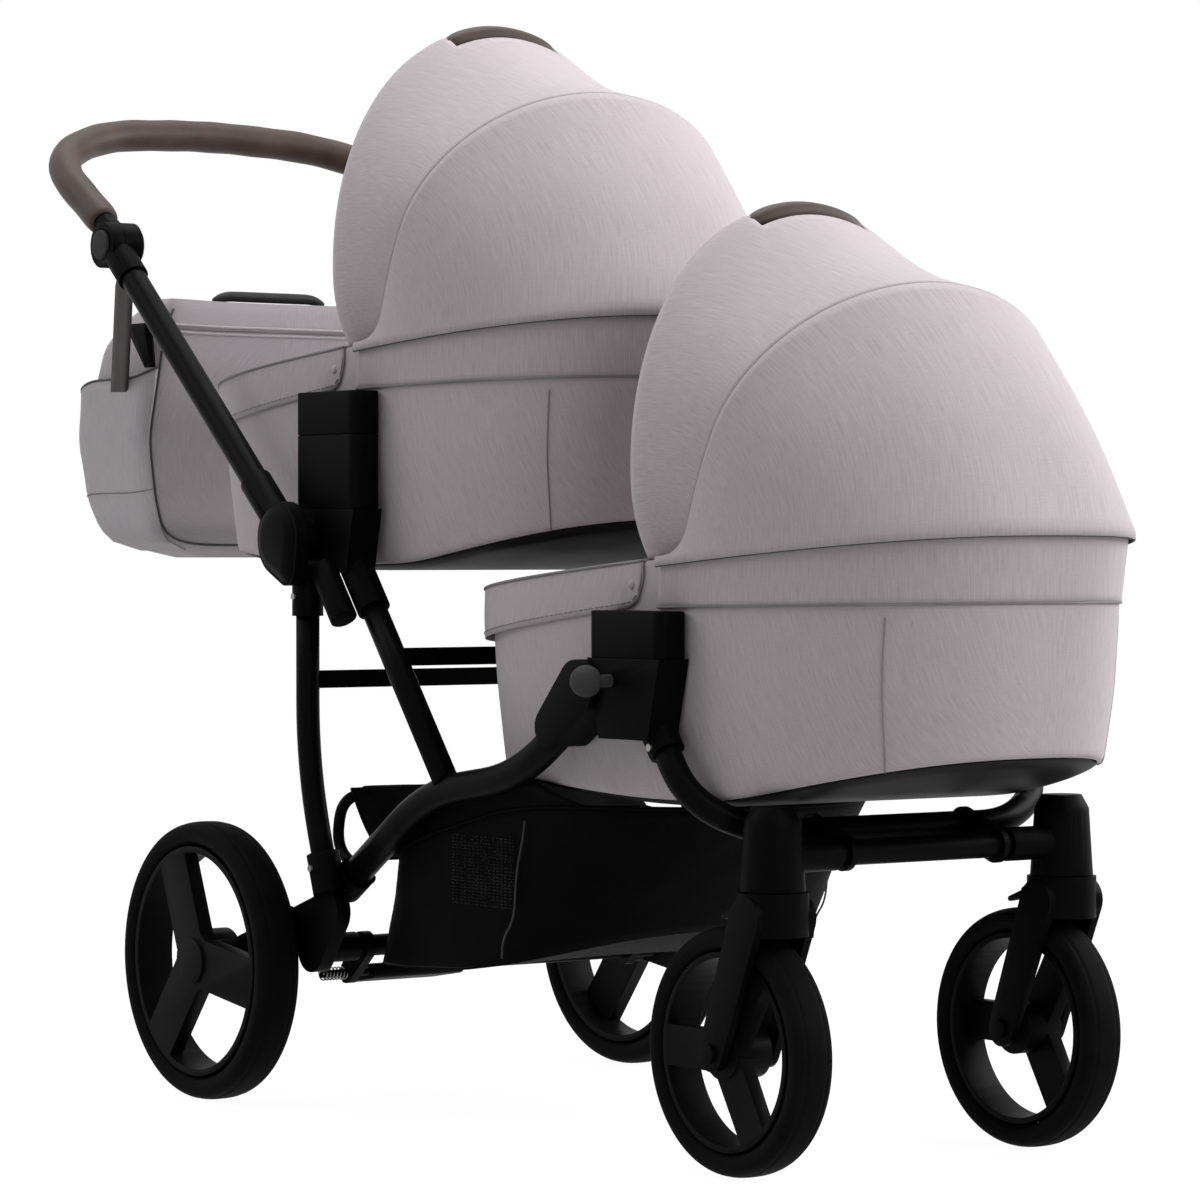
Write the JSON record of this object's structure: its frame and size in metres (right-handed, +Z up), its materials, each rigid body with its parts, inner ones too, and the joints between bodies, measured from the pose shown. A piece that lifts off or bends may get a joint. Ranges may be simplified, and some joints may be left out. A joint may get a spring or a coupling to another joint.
{
  "type": "twin pram",
  "caption": "Twin pram with one carrycot set high behind another, swivelling front wheels, folding pusher, adjustable leather handle, basket and changing bag",
  "frame": {"origin": "middle of the bounding box on the floor under the wheels", "axes": "+X forward along the longest extent, +Y to the pram's left along the shortest extent, +Z up"},
  "size_m": [1.494, 0.594, 1.1246],
  "materials": {
    "frame_tube": "satin black paint",
    "housing": "fine matt black plastic",
    "screw_steel": "plated steel",
    "tyre_rubber": "matt black tyre rubber",
    "rim_plastic": "satin black plastic",
    "knob_plastic": "charcoal matt plastic",
    "basket_cloth": "black coated cloth",
    "leather": "dark brown leather",
    "heather_cloth": "heather warm grey cloth",
    "lining": "pale quilted cloth",
    "tray_plastic": "satin dark grey plastic",
    "bow_plastic": "black plastic"
  },
  "bodies": {
    "chassis": {"rear_legs": "frame_tube", "side_tubes": "frame_tube", "struts": "frame_tube", "crossbars": "frame_tube", "rear_joints": "housing", "riser_adapters": "housing", "front_joints": "housing", "front_hoop": "frame_tube", "front_cross_tube": "frame_tube", "swivel_housings": "housing", "rear_feet": "housing", "rear_beam": "frame_tube", "frame_screws": "screw_steel", "brake_rod": "frame_tube", "brake_spring": "screw_steel", "basket": "basket_cloth", "basket_hoop": "frame_tube"},
    "brake": {"brake_pedal": "housing"},
    "rear_right_wheel": {"rear_right_tyre": "tyre_rubber", "rear_right_rim": "rim_plastic"},
    "rear_left_wheel": {"rear_left_tyre": "tyre_rubber", "rear_left_rim": "rim_plastic"},
    "right_caster": {"right_fork": "housing"},
    "left_caster": {"left_fork": "housing"},
    "front_right_wheel": {"front_right_tyre": "tyre_rubber", "front_right_rim": "rim_plastic"},
    "front_left_wheel": {"front_left_tyre": "tyre_rubber", "front_left_rim": "rim_plastic"},
    "right_lock": {"right_swivel_lock": "housing"},
    "left_lock": {"left_swivel_lock": "housing"},
    "pusher": {"pusher_tubes": "frame_tube", "pusher_fittings": "housing", "bag_body": "heather_cloth", "bag_straps": "leather"},
    "handle": {"handle_bar": "frame_tube", "handle_grip": "leather"},
    "right_button": {"right_handle_button": "knob_plastic"},
    "left_button": {"left_handle_button": "knob_plastic"},
    "right_knob": {"right_release_knob": "knob_plastic"},
    "left_knob": {"left_release_knob": "knob_plastic"},
    "rear_cot": {"rear_cot_tub": "heather_cloth", "rear_cot_tray": "tray_plastic", "rear_cot_brackets": "housing", "rear_apron": "heather_cloth", "rear_mattress": "lining", "rear_hood_end": "heather_cloth"},
    "rear_mid": {"rear_mid_bow": "bow_plastic", "rear_hood_crown": "heather_cloth"},
    "rear_main": {"rear_main_bow": "bow_plastic", "rear_carry_handle": "leather"},
    "front_cot": {"front_cot_tub": "heather_cloth", "front_cot_tray": "tray_plastic", "front_cot_brackets": "housing", "front_apron": "heather_cloth", "front_mattress": "lining", "front_hood_end": "heather_cloth"},
    "front_mid": {"front_mid_bow": "bow_plastic", "front_hood_crown": "heather_cloth"},
    "front_main": {"front_main_bow": "bow_plastic", "front_carry_handle": "leather"}
  },
  "joints": [
    {"name": "rear_right_spin", "type": "hinge", "parent": "chassis", "child": "rear_right_wheel", "pos_m": [-0.2686, -0.273, 0.145], "axis": [0, 1, 0], "continuous": true},
    {"name": "right_swivel", "type": "hinge", "parent": "chassis", "child": "right_caster", "pos_m": [0.5564, -0.175, 0.3], "axis": [0, 0, 1], "continuous": true},
    {"name": "front_right_spin", "type": "hinge", "parent": "right_caster", "child": "front_right_wheel", "pos_m": [0.5074, -0.175, 0.115], "axis": [0, 1, 0], "continuous": true},
    {"name": "right_lock_flip", "type": "hinge", "parent": "right_caster", "child": "right_lock", "pos_m": [0.5186, -0.175, 0.246], "axis": [0, 1, 0], "range_deg": [0, 25]},
    {"name": "rear_left_spin", "type": "hinge", "parent": "chassis", "child": "rear_left_wheel", "pos_m": [-0.2686, 0.273, 0.145], "axis": [0, 1, 0], "continuous": true},
    {"name": "left_swivel", "type": "hinge", "parent": "chassis", "child": "left_caster", "pos_m": [0.5564, 0.175, 0.3], "axis": [0, 0, 1], "continuous": true},
    {"name": "front_left_spin", "type": "hinge", "parent": "left_caster", "child": "front_left_wheel", "pos_m": [0.5074, 0.175, 0.115], "axis": [0, 1, 0], "continuous": true},
    {"name": "left_lock_flip", "type": "hinge", "parent": "left_caster", "child": "left_lock", "pos_m": [0.5186, 0.175, 0.246], "axis": [0, 1, 0], "range_deg": [0, 25]},
    {"name": "pusher_fold", "type": "hinge", "parent": "chassis", "child": "pusher", "pos_m": [-0.1366, 0, 0.585], "axis": [0, -1, 0], "range_deg": [-105, 0], "deforming": ["bag_body", "bag_straps"]},
    {"name": "handle_adjust", "type": "hinge", "parent": "pusher", "child": "handle", "pos_m": [-0.4986, 0, 0.905], "axis": [0, 1, 0], "range_deg": [-45, 30]},
    {"name": "right_button_press", "type": "slide", "parent": "pusher", "child": "right_button", "axis": [0, 1, 0], "range_m": [0, 0.004], "stiffness_N_per_m": 800},
    {"name": "right_knob_press", "type": "slide", "parent": "chassis", "child": "right_knob", "axis": [0, 1, 0], "range_m": [0, 0.004], "stiffness_N_per_m": 800},
    {"name": "left_button_press", "type": "slide", "parent": "pusher", "child": "left_button", "axis": [0, -1, 0], "range_m": [0, 0.004], "stiffness_N_per_m": 800},
    {"name": "left_knob_press", "type": "slide", "parent": "chassis", "child": "left_knob", "axis": [0, -1, 0], "range_m": [0, 0.004], "stiffness_N_per_m": 800},
    {"name": "brake_press", "type": "hinge", "parent": "chassis", "child": "brake", "pos_m": [-0.1466, 0, 0.136], "axis": [0, -1, 0], "range_deg": [0, 20]},
    {"name": "rear_cot_lift", "type": "slide", "parent": "chassis", "child": "rear_cot", "axis": [0, 0, 1], "range_m": [0, 0.06]},
    {"name": "rear_hood_fold", "type": "hinge", "parent": "rear_cot", "child": "rear_mid", "pos_m": [-0.1016, 0, 0.755], "axis": [0, 1, 0], "range_deg": [0, 28], "deforming": ["rear_hood_end", "rear_hood_crown"]},
    {"name": "rear_bow_fold", "type": "hinge", "parent": "rear_mid", "child": "rear_main", "pos_m": [-0.1016, 0, 0.755], "axis": [0, 1, 0], "range_deg": [0, 15], "deforming": ["rear_hood_crown"]},
    {"name": "front_cot_lift", "type": "slide", "parent": "chassis", "child": "front_cot", "axis": [0, 0, 1], "range_m": [0, 0.06]},
    {"name": "front_hood_fold", "type": "hinge", "parent": "front_cot", "child": "front_mid", "pos_m": [0.4134, 0, 0.537], "axis": [0, 1, 0], "range_deg": [0, 28], "deforming": ["front_hood_end", "front_hood_crown"]},
    {"name": "front_bow_fold", "type": "hinge", "parent": "front_mid", "child": "front_main", "pos_m": [0.4134, 0, 0.537], "axis": [0, 1, 0], "range_deg": [0, 15], "deforming": ["front_hood_crown"]}
  ],
  "couplings": [
    {"joint": "front_cot_lift", "follows": "rear_cot_lift", "ratio": 1},
    {"joint": "rear_bow_fold", "follows": "rear_hood_fold", "ratio": 0.5357},
    {"joint": "front_bow_fold", "follows": "front_hood_fold", "ratio": 0.5357}
  ]
}
